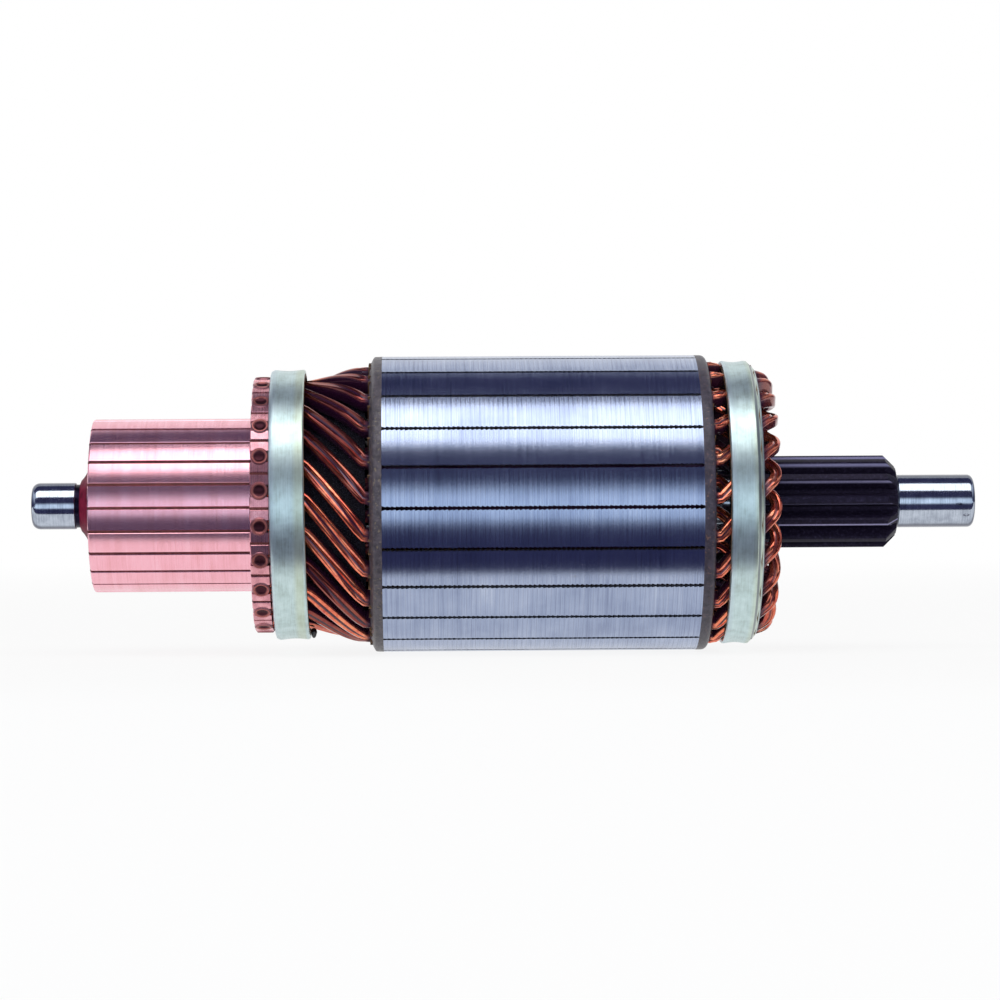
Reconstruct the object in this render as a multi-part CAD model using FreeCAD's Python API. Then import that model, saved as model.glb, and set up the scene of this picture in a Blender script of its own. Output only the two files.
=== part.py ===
import FreeCAD, Part
import math
import os

# Armature of a geared starting motor, in millimetres.
# X runs along the shaft from the commutator end to the drive end, Z is up,
# and the origin is the centre of the commutator-end journal.
# Angles round the shaft are in degrees: 0 faces -Y, and they grow towards +Z.

# Shaft
journal_c_diameter = 11.0
journal_c_length = 10.3
journal_c_chamfer = 1.4
undercut_diameter = 10.2
undercut_length = 3.2
shaft_diameter = 17.0
journal_d_diameter = 12.5
journal_d_length = 17.6
journal_d_chamfer = 1.0
gear_shoulder_length = 0.7
gear_run_in = 1.0

# Sun gear cut on the shaft
tooth_count = 12
gear_diameter = 21.8
gear_root_diameter = 15.6
gear_length = 38.0
gear_reach = 29.4
gear_chamfer = 2.6
tooth_tip_width = 1.6
tooth_root_width = 3.5
tooth_middle_width = 2.51
tooth_turn = 2.4

# Commutator
commutator_diameter = 41.0
copper_length = 42.5
riser_step = 5.0
riser_width = 4.5
hub_share = 0.508
mica_thickness = 0.6
mica_recess = 0.4
hub_gap = 1.1
hub_nose_length = 3.3
hub_nose_step = 0.95
hub_nose_radius = 7.9
hub_nose_wall = 0.3
hub_back_set = 0.6
riser_slot_clearance = 0.1

# Core
slot_count = 23
slot_turn = -1.65
core_diameter = 70.0
core_length = 74.4
slot_opening = 0.6
slot_lip = 1.5
slot_width = 3.5
slot_depth = 9.4
disc_c_thickness = 2.9
disc_c_chamfer = 1.2
disc_c_chamfer_rise = 2.1
disc_d_thickness = 2.1
disc_d_chamfer = 1.2
liner_thickness = 0.25
liner_slack = 0.2
liner_overhang = 0.3

# Winding: rectangular copper hairpins in two layers
conductor_width = 2.7
conductor_height = 3.7
layer_gap = 0.9
end_layer_gap = 0.96
coil_pitch_slots = 4
front_twist_slots = 2.5
riser_to_disc = 22.9
nose_show = 3.0
nose_drop = 1.1
riser_run = 6.0
straight_run = 0.95
bend_share = 0.06
nose_sharpness = 0.13
lip_follow = 0.74
front_bends = 4

# Banding rings and the insulation under them
band_thickness = 0.9
band_c_rise = 1.1
band_c_width = 8.1
band_c_lip = 1.0
band_c_lean = -0.8
band_c_overlap = 0.1
band_d_width = 9.5
band_d_lip_length = 1.8
band_d_offset = 3.6
band_neck_lead = 1.0
band_seat_clearance = 0.05
band_paper_thickness = 0.45
band_paper_reach = 0.1
layer_paper_overlap = 2.0
paper_thickness = 0.14
paper_clearance = 0.24

# Clearances
seat_clearance = 0.04
conductor_clearance = 0.15
conductor_set_in = 0.5
cut_over = 1.0

# Stations along X
shaft_start = -journal_c_length / 2
undercut_start = journal_c_length / 2
seat_start = undercut_start + undercut_length
hub_start = undercut_start + hub_gap
copper_start = hub_start + hub_nose_length
copper_end = copper_start + copper_length
riser_start = copper_end - riser_width
disc_c_start = copper_end + riser_to_disc
core_start = disc_c_start + disc_c_thickness
core_end = core_start + core_length
disc_d_end = core_end + disc_d_thickness
band_d_start = disc_d_end + band_d_offset
band_d_end = band_d_start + band_d_width
nose_end = band_d_end + nose_show
gear_end = nose_end + gear_reach
gear_start = gear_end - gear_length
journal_d_start = gear_end + gear_shoulder_length
shaft_end = journal_d_start + journal_d_length
band_c_start = copper_end - band_c_overlap
band_c_end = band_c_start + band_c_width
band_neck = band_d_start - band_neck_lead
band_bend = band_d_end - band_d_lip_length - band_thickness / 2

# Angles and radii that several pieces share
slot_pitch = 360.0 / slot_count
mid_tooth = slot_turn + slot_pitch / 2
corner_share = math.cos(math.radians(slot_pitch / 2))
core_radius = core_diameter / 2
commutator_wall = (commutator_diameter - shaft_diameter) / 2
bar_foot_radius = shaft_diameter / 2 + hub_share * commutator_wall
slot_top = core_radius - slot_lip
slot_bottom = slot_top - slot_depth
bottom_layer = slot_bottom + liner_thickness + liner_slack + conductor_height / 2
top_layer = bottom_layer + conductor_height + layer_gap
riser_radius = core_radius - riser_step
riser_top_layer = riser_radius - conductor_clearance - conductor_height / 2
riser_bottom_layer = riser_top_layer - conductor_height - end_layer_gap
band_c_inner = riser_radius + band_c_rise
band_c_outer = band_c_inner + band_thickness

# Winding at the drive end
under_band = top_layer - nose_drop
band_d_flat = under_band + conductor_height / 2 + conductor_clearance
band_d_inner = (band_d_flat + band_paper_thickness) / corner_share + band_seat_clearance
band_d_outer = band_d_inner + band_thickness
under_lip = under_band - band_d_lip_length * lip_follow
end_bottom_layer = under_band - conductor_height - end_layer_gap
tip_bottom_layer = under_lip - conductor_height - end_layer_gap
nose_root = disc_d_end + straight_run
nose_crown = nose_end - conductor_width / 2
nose_middle = (band_neck + band_bend) / 2

X_AXIS = FreeCAD.Vector(1, 0, 0)
ORIGIN = FreeCAD.Vector(0, 0, 0)


def polar(x, radius, angle):
    """Point at a station, a radius and an angle round the shaft."""
    a = math.radians(angle)
    return FreeCAD.Vector(x, -radius * math.cos(a), radius * math.sin(a))


def turned(shape, angle):
    """Copy of a shape turned round the shaft."""
    copy = shape.copy()
    copy.rotate(ORIGIN, X_AXIS, -angle)
    return copy


def closed_face(points):
    """Flat face with straight edges through the points."""
    return Part.Face(Part.makePolygon(points + points[:1]))


def revolved(profile):
    """Solid of revolution from (x, radius) pairs of a half section."""
    points = [FreeCAD.Vector(x, 0, radius) for x, radius in profile]
    return closed_face(points).revolve(ORIGIN, X_AXIS, 360)


def ring_of_flats(x, radius, count, first):
    """Corners of a regular ring, from the first one's angle."""
    step = 360.0 / count
    return [polar(x, radius, first + i * step) for i in range(count)]


def skinned(rings):
    """Solid between closed rings of corners; the last ring joins the first."""
    faces = []
    for first, second in zip(rings, rings[1:] + rings[:1]):
        for i in range(len(first)):
            j = (i + 1) % len(first)
            faces.append(closed_face([first[i], first[j], second[j], second[i]]))
    return solid_of(faces)


def hoop(profile):
    """Thin ring from (x, radius) pairs, with two flats a slot for its round."""
    count = 2 * slot_count
    return skinned([ring_of_flats(x, radius, count, mid_tooth) for x, radius in profile])


def drum(profile, count, first):
    """Closed body from (x, radius) pairs, with flats for its round."""
    rings = [ring_of_flats(x, radius, count, first) for x, radius in profile]
    faces = [closed_face(rings[0]), closed_face(rings[-1])]
    for first, second in zip(rings, rings[1:]):
        for i in range(count):
            j = (i + 1) % count
            faces.append(closed_face([first[i], first[j], second[j], second[i]]))
    return solid_of(faces)


def solid_of(faces):
    """Closed solid with its faces outward."""
    solid = Part.makeSolid(Part.makeShell(faces))
    if solid.Volume < 0:
        solid.reverse()
    return solid


def flat_bore(start, end, radius):
    """Cutter for a hole along the shaft, with one flat a slot that clears the radius."""
    corner = radius / corner_share
    return drum([(start, corner), (end, corner)], slot_count, mid_tooth)


def plate_point(x, depth, across):
    """Point at the angle 0, a depth out from the axis and a distance across."""
    return FreeCAD.Vector(x, -depth, across)


def radial_box(start, end, inner, outer, width):
    """Box that stands out from the axis at the angle 0."""
    section = closed_face([
        plate_point(start, inner, -width / 2),
        plate_point(start, outer, -width / 2),
        plate_point(start, outer, width / 2),
        plate_point(start, inner, width / 2),
    ])
    return section.extrude(FreeCAD.Vector(end - start, 0, 0))


def ring_of(shape):
    """One copy of the shape at each slot."""
    return [turned(shape, slot_turn + i * slot_pitch) for i in range(slot_count)]


def paper_tube(stations, thickness):
    """Paper wrapped over the bars, with one flat a slot.

    Each station is (x, distance from the axis to the inside of the flats).
    """
    inside = [
        ring_of_flats(x, r / corner_share, slot_count, mid_tooth) for x, r in stations
    ]
    outside = [
        ring_of_flats(x, (r + thickness) / corner_share, slot_count, mid_tooth)
        for x, r in stations
    ]
    return skinned(outside + inside[::-1])


# Shaft with its journals and the sun gear

def gear_blank():
    """Straight spur teeth, with a flat chamfer on the outer end of each."""
    tip = gear_diameter / 2
    root = gear_root_diameter / 2
    pitch = 360.0 / tooth_count
    middle = (tip + root) / 2
    widths = [
        (root, tooth_root_width),
        (middle, tooth_middle_width),
        (tip, tooth_tip_width),
    ]
    right = [(r, math.degrees(w / 2 / r)) for r, w in widths]
    edges = []
    for i in range(tooth_count):
        centre = tooth_turn + i * pitch
        rising = [polar(gear_start, r, centre - a) for r, a in right]
        falling = [polar(gear_start, r, centre + a) for r, a in reversed(right)]
        flank = rising + falling
        for first, second in zip(flank, flank[1:]):
            edges.append(Part.makeLine(first, second))
        next_root = polar(gear_start, root, centre + pitch - right[0][1])
        edges.append(Part.makeLine(falling[-1], next_root))
    teeth = Part.Face(Part.Wire(edges)).extrude(FreeCAD.Vector(gear_length, 0, 0))
    wide = (tip + cut_over) / math.cos(math.radians(pitch / 2))
    narrow = (tip - gear_chamfer) / math.cos(math.radians(pitch / 2))
    envelope = drum([
        (gear_start, wide),
        (gear_end - gear_chamfer - cut_over, wide),
        (gear_end, narrow),
    ], tooth_count, tooth_turn + pitch / 2)
    return teeth.common(envelope)


def make_shaft():
    """Ground shaft in one piece with the gear."""
    end_c = journal_c_diameter / 2
    end_d = journal_d_diameter / 2
    neck = undercut_diameter / 2
    body = shaft_diameter / 2
    shoulder = end_d + gear_shoulder_length
    base = revolved([
        (shaft_start, 0),
        (shaft_start, end_c - journal_c_chamfer),
        (shaft_start + journal_c_chamfer, end_c),
        (undercut_start, end_c),
        (undercut_start, neck),
        (seat_start, neck),
        (seat_start, body),
        (gear_start + gear_run_in, body),
        (gear_start + gear_run_in, end_d),
        (gear_end - gear_shoulder_length, end_d),
        (gear_end, shoulder),
        (journal_d_start, end_d),
        (shaft_end - journal_d_chamfer, end_d),
        (shaft_end, end_d - journal_d_chamfer),
        (shaft_end, 0),
    ])
    return base.fuse(gear_blank()).removeSplitter()


# Laminated core, its end discs and the slot liners

def slot_pocket(start, end):
    """Straight-sided room for two conductors and their liner."""
    return radial_box(start, end, slot_bottom, slot_top, slot_width)


def slotted(blank, slot, start, end):
    """Blank with a slot at every pitch and the shaft bore."""
    bore = flat_bore(start - cut_over, end + cut_over, shaft_diameter / 2 + seat_clearance)
    return blank.cut(ring_of(slot) + [bore])


def make_core():
    """Stack of laminations with narrow slot mouths, pressed on the shaft."""
    start = core_start - cut_over
    end = core_end + cut_over
    mouth = radial_box(start, end, slot_top - slot_lip, core_radius + slot_lip, slot_opening)
    slot = slot_pocket(start, end).fuse(mouth).removeSplitter()
    ends = [(core_start, core_radius), (core_end, core_radius)]
    blank = drum(ends, 2 * slot_count, mid_tooth)
    return slotted(blank, slot, core_start, core_end)


def make_disc_c():
    """Insulating disc at the commutator end, with a stepped-back rim."""
    blank = drum([
        (disc_c_start, core_radius - disc_c_chamfer_rise),
        (disc_c_start + disc_c_chamfer, core_radius),
        (core_start, core_radius),
    ], 2 * slot_count, mid_tooth)
    pocket = slot_pocket(disc_c_start - cut_over, core_start + cut_over)
    return slotted(blank, pocket, disc_c_start, core_start)


def make_disc_d():
    """Insulating disc at the drive end, with a plain chamfer."""
    blank = drum([
        (core_end, core_radius),
        (disc_d_end - disc_d_chamfer, core_radius),
        (disc_d_end, core_radius - disc_d_chamfer),
    ], 2 * slot_count, mid_tooth)
    pocket = slot_pocket(core_end - cut_over, disc_d_end + cut_over)
    return slotted(blank, pocket, core_end, disc_d_end)


def make_slot_liners():
    """Folded paper troughs that keep the hairpins off the iron."""
    start = disc_c_start - liner_overhang
    end = disc_d_end + liner_overhang
    width = slot_width - 2 * seat_clearance
    floor = slot_bottom + seat_clearance
    outside = radial_box(start, end, floor, slot_top - seat_clearance, width)
    inside = radial_box(
        start - cut_over, end + cut_over, floor + liner_thickness, slot_top + cut_over,
        width - 2 * liner_thickness,
    )
    return Part.makeCompound(ring_of(outside.cut(inside)))


# Commutator

def side_angle(radius):
    """Angle from a bar's middle to its side face, which lies flat on the mica."""
    return slot_pitch / 2 - math.degrees(math.asin(mica_thickness / 2 / radius))


def bar_section(x, foot, outer):
    """Wedge section of a bar: flat foot, two flat sides, crowned top."""
    top = side_angle(outer)
    low = side_angle(foot)
    return closed_face([
        polar(x, outer, -top), polar(x, foot, -low), polar(x, foot, low),
        polar(x, outer, top), polar(x, outer, 0),
    ])


def make_commutator_bar():
    """Copper bar with its riser, slotted for the two conductor ends."""
    track = bar_section(copper_start, bar_foot_radius, commutator_diameter / 2)
    track = track.extrude(FreeCAD.Vector(copper_length - riser_width, 0, 0))
    riser = bar_section(riser_start, bar_foot_radius, riser_radius)
    riser = riser.extrude(FreeCAD.Vector(riser_width, 0, 0))
    bar = track.fuse(riser).removeSplitter()
    slot = radial_box(
        riser_start, copper_end + cut_over,
        riser_bottom_layer - conductor_height / 2 - seat_clearance,
        riser_radius + cut_over, conductor_width + 2 * riser_slot_clearance,
    )
    return bar.cut(slot)


def make_mica():
    """Mica plates between the bars, set back a little from the copper."""
    thickness = mica_thickness
    inner = foot_flat() / corner_share
    outer = commutator_diameter / 2 - mica_recess
    tall = riser_radius - mica_recess
    outline = closed_face([
        plate_point(copper_start, inner, -thickness / 2),
        plate_point(copper_start, outer, -thickness / 2),
        plate_point(riser_start, outer, -thickness / 2),
        plate_point(riser_start, tall, -thickness / 2),
        plate_point(copper_end, tall, -thickness / 2),
        plate_point(copper_end, inner, -thickness / 2),
    ])
    return Part.makeCompound(ring_of(outline.extrude(FreeCAD.Vector(0, 0, thickness))))


def foot_flat():
    """Distance from the axis to the flat foot of a bar."""
    return bar_foot_radius * math.cos(math.radians(side_angle(bar_foot_radius)))


def make_hub():
    """Moulded hub: a flat seat for each bar, a coned nose, a bore for the shaft."""
    neck = undercut_diameter / 2 + seat_clearance
    body = shaft_diameter / 2 + seat_clearance
    back = copper_end - hub_back_set
    corner = foot_flat() / corner_share
    blank = drum([
        (hub_start, neck + hub_nose_wall),
        (hub_start + hub_nose_step, hub_nose_radius),
        (copper_start, corner),
        (back, corner),
    ], slot_count, slot_turn)
    bores = [flat_bore(hub_start, seat_start, neck), flat_bore(seat_start, back, body)]
    return blank.cut(bores).removeSplitter()


# Winding

def smooth(u):
    """Rises from 0 to 1 with a level start and end."""
    u = min(max(u, 0.0), 1.0)
    return u * u * (3 - 2 * u)


def eased(u):
    """Rises evenly from 0 to 1, with short bends at both ends."""
    if u < bend_share:
        return u * u / (2 * bend_share * (1 - bend_share))
    if u > 1 - bend_share:
        return 1 - (1 - u) ** 2 / (2 * bend_share * (1 - bend_share))
    return (u - bend_share / 2) / (1 - bend_share)


def front_station(i):
    """Station of one bend between the riser and the core, and the lift there."""
    start = copper_end + riser_run
    end = disc_c_start - straight_run
    x = start + (end - start) * i / front_bends
    return x, smooth((x - band_c_end) / (disc_c_start - band_c_end))


def front_leg(core_layer, riser_layer, home, turn):
    """Centre line from the riser to the core: (x, radius, angle) stations."""
    route = [(riser_start + conductor_set_in, riser_layer, home + turn)]
    for i in range(front_bends + 1):
        x, lift = front_station(i)
        radius = riser_layer + (core_layer - riser_layer) * lift
        route.append((x, radius, home + turn * (1 - eased(i / front_bends))))
    return route


def nose_turn(x):
    """Share of the half coil still to be turned at a station of the drive end."""
    tip = math.hypot(1, nose_sharpness) - nose_sharpness
    away = (nose_crown - x) / (nose_crown - nose_root)
    return math.sqrt((away * tip + nose_sharpness) ** 2 - nose_sharpness ** 2)


def nose(home):
    """Centre line round the drive end, from the top layer into the bottom one."""
    half_turn = coil_pitch_slots * slot_pitch / 2
    over = [
        (nose_root, top_layer), (band_neck, under_band), (nose_middle, under_band),
        (band_bend, under_band), (band_d_end, under_lip),
    ]
    under = [
        (band_d_end, tip_bottom_layer), (nose_middle, end_bottom_layer),
        (band_neck, end_bottom_layer), (nose_root, bottom_layer),
    ]
    route = [(x, radius, home + half_turn * (1 - nose_turn(x))) for x, radius in over]
    route.append((nose_crown, (under_lip + tip_bottom_layer) / 2, home + half_turn))
    for x, radius in under:
        route.append((x, radius, home + half_turn * (1 + nose_turn(x))))
    return route


def hairpin_route():
    """Centre line of one whole hairpin, riser to riser."""
    far = coil_pitch_slots * slot_pitch
    twist = front_twist_slots * slot_pitch
    top = front_leg(top_layer, riser_top_layer, 0, twist)
    bottom = front_leg(bottom_layer, riser_bottom_layer, far, -twist)
    return top + nose(0) + bottom[::-1]


def conductor_sections(route):
    """Mitred rectangle of the conductor at each station of its route."""
    centres = [polar(*station) for station in route]
    sections = []
    for i, (x, radius, angle) in enumerate(route):
        before = centres[i] - centres[max(i - 1, 0)]
        after = centres[min(i + 1, len(route) - 1)] - centres[i]
        before = before.normalize() if before.Length > 0 else after
        after = after.normalize() if after.Length > 0 else before
        along = (before.normalize() + after.normalize()).normalize()
        out = polar(0, 1, angle)
        side = out.cross(along).normalize()
        mitre = max(along.dot(before), 0.5)
        half = side * (conductor_width / 2 / mitre)
        rise = out * (conductor_height / 2)
        centre = centres[i]
        sections.append([
            centre + half + rise, centre - half + rise,
            centre - half - rise, centre + half - rise,
        ])
    return sections


def make_hairpin():
    """Solid of one conductor, bent flat by flat along its route."""
    sections = conductor_sections(hairpin_route())
    faces = [closed_face(sections[0]), closed_face(sections[-1])]
    for first, second in zip(sections, sections[1:]):
        for k in range(4):
            m = (k + 1) % 4
            faces.append(closed_face([first[k], first[m], second[m]]))
            faces.append(closed_face([first[k], second[m], second[k]]))
    return solid_of(faces)


def make_layer_paper_c():
    """Paper between the two layers at the commutator end."""
    stations = []
    for i in range(front_bends + 1):
        x, lift = front_station(i)
        radius = riser_bottom_layer + (bottom_layer - riser_bottom_layer) * lift
        stations.append((x, radius + conductor_height / 2 + paper_clearance))
    return paper_tube(stations, paper_thickness)


def make_layer_paper_d():
    """Paper between the two layers at the drive end."""
    radius = end_bottom_layer + conductor_height / 2 + paper_clearance
    return paper_tube(
        [(band_d_start, radius), (nose_middle + layer_paper_overlap, radius)], paper_thickness)


# Bands

def make_band_c():
    """Steel ring beside the risers, with a lip turned in at its outer side."""
    outer = band_c_outer
    inner = band_c_inner
    return hoop([
        (band_c_start, inner - band_c_lip),
        (band_c_start + band_thickness, outer),
        (band_c_end, outer),
        (band_c_end, inner),
        (band_c_start + band_thickness, inner),
        (band_c_start + band_thickness, inner - band_c_lip),
    ])


def make_band_d():
    """Steel ring on the drive-end turns, with a coned lip towards the noses."""
    outer = band_d_outer
    lip = outer - band_d_lip_length
    return hoop([
        (band_d_start, band_d_inner),
        (band_d_start, outer),
        (band_d_end - band_d_lip_length, outer),
        (band_d_end, lip),
        (band_d_end - band_thickness / 2, lip - band_thickness / 2),
        (band_bend, band_d_inner),
    ])


def leaned(shape):
    """Copy tipped a little out of square, as the commutator-end ring sits."""
    copy = shape.copy()
    centre = FreeCAD.Vector((band_c_start + band_c_end) / 2, 0, 0)
    copy.rotate(centre, FreeCAD.Vector(0, 1, 0), band_c_lean)
    return copy


def make_band_paper_c():
    """Insulation strip under the commutator-end band."""
    flat = (band_c_inner - band_seat_clearance) * corner_share - band_paper_thickness
    start = band_c_start + band_thickness + band_seat_clearance
    stations = [(start, flat), (band_c_end + band_paper_reach, flat)]
    return paper_tube(stations, band_paper_thickness)


def make_band_paper_d():
    """Insulation strip under the drive-end band."""
    stations = [(band_d_start - band_paper_reach, band_d_flat), (band_bend, band_d_flat)]
    return paper_tube(stations, band_paper_thickness)


def save(name, shape):
    """Write one piece."""
    shape.exportStep("parts/" + name + ".step")


def main():
    """Build every piece of the armature."""
    os.makedirs("parts", exist_ok=True)
    save("rotor_shaft", make_shaft())
    save("core_stack", make_core())
    save("end_disc_commutator_side", make_disc_c())
    save("end_disc_drive_side", make_disc_d())
    save("slot_liners", make_slot_liners())
    save("commutator_hub", make_hub())
    save("mica_segments", make_mica())
    bar = make_commutator_bar()
    hairpin = make_hairpin()
    for i in range(slot_count):
        angle = slot_turn + i * slot_pitch
        number = "%02d" % (i + 1)
        save("commutator_bar_" + number, turned(bar, angle + slot_pitch / 2))
        save("hairpin_" + number, turned(hairpin, angle))
    save("layer_paper_commutator_side", make_layer_paper_c())
    save("layer_paper_drive_side", make_layer_paper_d())
    save("band_commutator_side", leaned(make_band_c()))
    save("band_drive_side", make_band_d())
    save("band_paper_commutator_side", leaned(make_band_paper_c()))
    save("band_paper_drive_side", make_band_paper_d())


main()
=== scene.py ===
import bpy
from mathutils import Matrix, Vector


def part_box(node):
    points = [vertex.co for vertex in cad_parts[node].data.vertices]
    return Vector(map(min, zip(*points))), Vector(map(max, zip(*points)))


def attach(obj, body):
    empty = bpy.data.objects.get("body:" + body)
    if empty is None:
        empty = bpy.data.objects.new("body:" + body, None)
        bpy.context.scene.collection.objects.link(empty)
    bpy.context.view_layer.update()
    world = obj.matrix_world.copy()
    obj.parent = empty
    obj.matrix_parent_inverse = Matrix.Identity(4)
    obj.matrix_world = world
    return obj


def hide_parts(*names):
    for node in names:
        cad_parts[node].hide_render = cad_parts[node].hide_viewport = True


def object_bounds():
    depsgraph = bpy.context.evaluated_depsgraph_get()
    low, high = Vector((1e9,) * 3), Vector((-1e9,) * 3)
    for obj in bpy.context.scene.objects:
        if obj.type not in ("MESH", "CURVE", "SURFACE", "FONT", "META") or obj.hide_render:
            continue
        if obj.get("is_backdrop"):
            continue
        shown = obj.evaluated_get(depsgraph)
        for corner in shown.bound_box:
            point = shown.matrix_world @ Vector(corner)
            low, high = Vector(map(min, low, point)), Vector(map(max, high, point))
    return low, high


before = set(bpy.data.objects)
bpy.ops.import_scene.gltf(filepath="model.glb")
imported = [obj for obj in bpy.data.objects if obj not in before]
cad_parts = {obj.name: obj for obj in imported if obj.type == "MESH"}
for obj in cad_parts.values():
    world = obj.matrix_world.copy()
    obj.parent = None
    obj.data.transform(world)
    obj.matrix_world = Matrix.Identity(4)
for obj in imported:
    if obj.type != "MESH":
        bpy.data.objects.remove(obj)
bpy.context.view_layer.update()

import logging
import random
from dataclasses import dataclass
from enum import Enum
from math import asin, cos, degrees, hypot, pi, radians, sin, sqrt, tau
from typing import Callable, Optional, Sequence, Union

import bmesh
import bpy
from mathutils import Matrix, Vector

# Dressing of a starter-motor armature round its CAD frame.
# X runs along the shaft from the commutator to the drive end, and Z is up. Angles
# round the shaft are in degrees: 0 faces -Y, and they grow towards +Z.
# Sizes are in millimetres, but points and the studio's sizes are in metres.

log = logging.getLogger("armature")
MM = 0.001
SLOTS = 23
PITCH = 360.0 / SLOTS
SLOT_TURN = -1.65
SAME = 1e-7
SHARP = radians(32)

# A pair is a station and a radius, a range, a size or a place across and outwards.
Mesh = bmesh.types.BMesh
Material = bpy.types.Material
Colour = Point = tuple[float, float, float]
Pair = tuple[float, float]
Stop = tuple[float, Colour]
Ring = list[Vector]
Piece = bpy.types.Object
Floats = Sequence[float]
Pairs = Sequence[Pair]


# Places and small shape tools

def polar(x: float, radius: float, angle: float) -> Vector:
    """Point at a station, a radius and an angle round the shaft."""
    a = radians(angle)
    return Vector((x, -radius * cos(a), radius * sin(a))) * MM


def span(node: str) -> Pair:
    """First and last station of a CAD node."""
    low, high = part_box(node)
    return low.x / MM, high.x / MM


def smooth(u: float) -> float:
    """Rise from 0 to 1 with a level start and end."""
    u = min(max(u, 0.0), 1.0)
    return u * u * (3 - 2 * u)


def round_end(end: float, radius: float, size: float, count: int) -> list[Pair]:
    """Stations and radii of a rounded edge at the far end of a round piece."""
    turns = [radians(90 * k / count) for k in range(1, count + 1)]
    return [(end - size + size * sin(a), radius - size + size * cos(a)) for a in turns]


def about(angle: float, axis: str = "X") -> Matrix:
    """Rotation by an angle in degrees about an axis."""
    return Matrix.Rotation(radians(angle), 3, axis)


def rotate(bm: Mesh, matrix: Matrix, centre: Floats = (0, 0, 0)) -> None:
    """Rotate a whole bmesh about a point."""
    bmesh.ops.rotate(bm, verts=bm.verts, cent=centre, matrix=matrix)


def finish_mesh(bm: Mesh, name: str, shade: bool = True) -> Piece:
    """Turn a bmesh into an object.

    Args:
        bm: the shape, in its place.
        name: the piece's name.
        shade: whether its faces are shaded smooth, with sharp edges kept.

    Returns:
        The new object.
    """
    bmesh.ops.remove_doubles(bm, verts=bm.verts, dist=SAME)
    bmesh.ops.recalc_face_normals(bm, faces=bm.faces)
    if shade:
        for face in bm.faces:
            face.smooth = True
        for edge in bm.edges:
            if len(edge.link_faces) == 2 and edge.calc_face_angle(0.0) > SHARP:
                edge.smooth = False
    mesh = bpy.data.meshes.new(name)
    bm.to_mesh(mesh)
    bm.free()
    piece = bpy.data.objects.new(name, mesh)
    bpy.context.scene.collection.objects.link(piece)
    return piece


def dress(bm: Mesh, name: str, material: Material, slot: str, *nodes: str) -> None:
    """Make a piece with its material and its ride, and hide the nodes it stands for."""
    piece = finish_mesh(bm, name)
    piece.data.materials.append(material)
    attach(piece, "root")
    if nodes:
        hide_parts(*nodes)
    log.info("%s: %d faces", piece.name, len(piece.data.polygons))


def skin(bm: Mesh, rings: Sequence[Sequence[Vector]], capped: bool = True,
         marks: Optional[Floats] = None) -> None:
    """Join closed rings of points into one skin.

    Each ring is extruded from the one before and its vertices are moved into
    place, so the skin keeps one vertex for each point.

    Args:
        bm: the bmesh that takes the skin.
        rings: closed rings with the same number of points.
        capped: whether the first and last ring get a face.
        marks: a value for each point of a ring, kept as the attribute "mark".
    """
    layer = bm.verts.layers.float.new("mark") if marks else None
    verts = [bm.verts.new(point) for point in rings[0]]
    edges = start = [bm.edges.new(pair) for pair in zip(verts, verts[1:] + verts[:1])]
    for number, ring in enumerate(rings):
        if number:
            grown = bmesh.ops.extrude_edge_only(bm, edges=edges)["geom"]
            fresh = {g for g in grown if isinstance(g, bmesh.types.BMVert)}
            verts = [next(o for e in v.link_edges for o in (e.other_vert(v),) if o in fresh)
                     for v in verts]
            edges = [bm.edges.get(pair) for pair in zip(verts, verts[1:] + verts[:1])]
        for vert, point in zip(verts, ring):
            vert.co = point
        for vert, mark in zip(verts, marks or ()):
            vert[layer] = mark
    if capped:
        bmesh.ops.contextual_create(bm, geom=start)
        bmesh.ops.contextual_create(bm, geom=edges)


def spun(points: Sequence[Floats], axis: Floats, steps: int) -> Mesh:
    """Body of revolution from points, spun about an axis through the origin."""
    bm = bmesh.new()
    verts = [bm.verts.new(Vector(point) * MM) for point in points]
    edges = [bm.edges.new(pair) for pair in zip(verts, verts[1:])]
    bmesh.ops.spin(bm, geom=verts + edges, cent=(0, 0, 0), axis=axis,
                   angle=tau, steps=steps, use_merge=True)
    bmesh.ops.remove_doubles(bm, verts=bm.verts, dist=SAME)
    return bm


# Shader tools

Value = Union["Wire", int, float, Floats]


def math_method(operation: str, flipped: bool = False) -> Callable[..., "Wire"]:
    """Make a method of Wire that adds a Math node.

    Args:
        operation: the Math node's operation.
        flipped: whether the other value comes first.

    Returns:
        The method, which takes another value if the operation needs one.
    """
    def method(wire: "Wire", *other: Value) -> "Wire":
        """Math node on this wire."""
        values = (*other, wire) if flipped else (wire, *other)
        return wire.shop.node("ShaderNodeMath", {"operation": operation},
                              dict(enumerate(values)))
    return method


class Wire:
    """A node's output socket, on which arithmetic adds Math nodes."""

    def __init__(self, shop: "Shop", socket: bpy.types.NodeSocket) -> None:
        """Keep the socket and the node tree it belongs to."""
        self.shop = shop
        self.socket = socket

    __add__ = math_method("ADD")
    __radd__ = math_method("ADD", True)
    __sub__ = math_method("SUBTRACT")
    __rsub__ = math_method("SUBTRACT", True)
    __mul__ = math_method("MULTIPLY")
    __rmul__ = math_method("MULTIPLY", True)
    __truediv__ = math_method("DIVIDE")
    __pow__ = math_method("POWER")
    most = math_method("MAXIMUM")
    fract = math_method("FRACT")
    floor = math_method("FLOOR")
    pingpong = math_method("PINGPONG")
    arctan2 = math_method("ARCTAN2")


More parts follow.
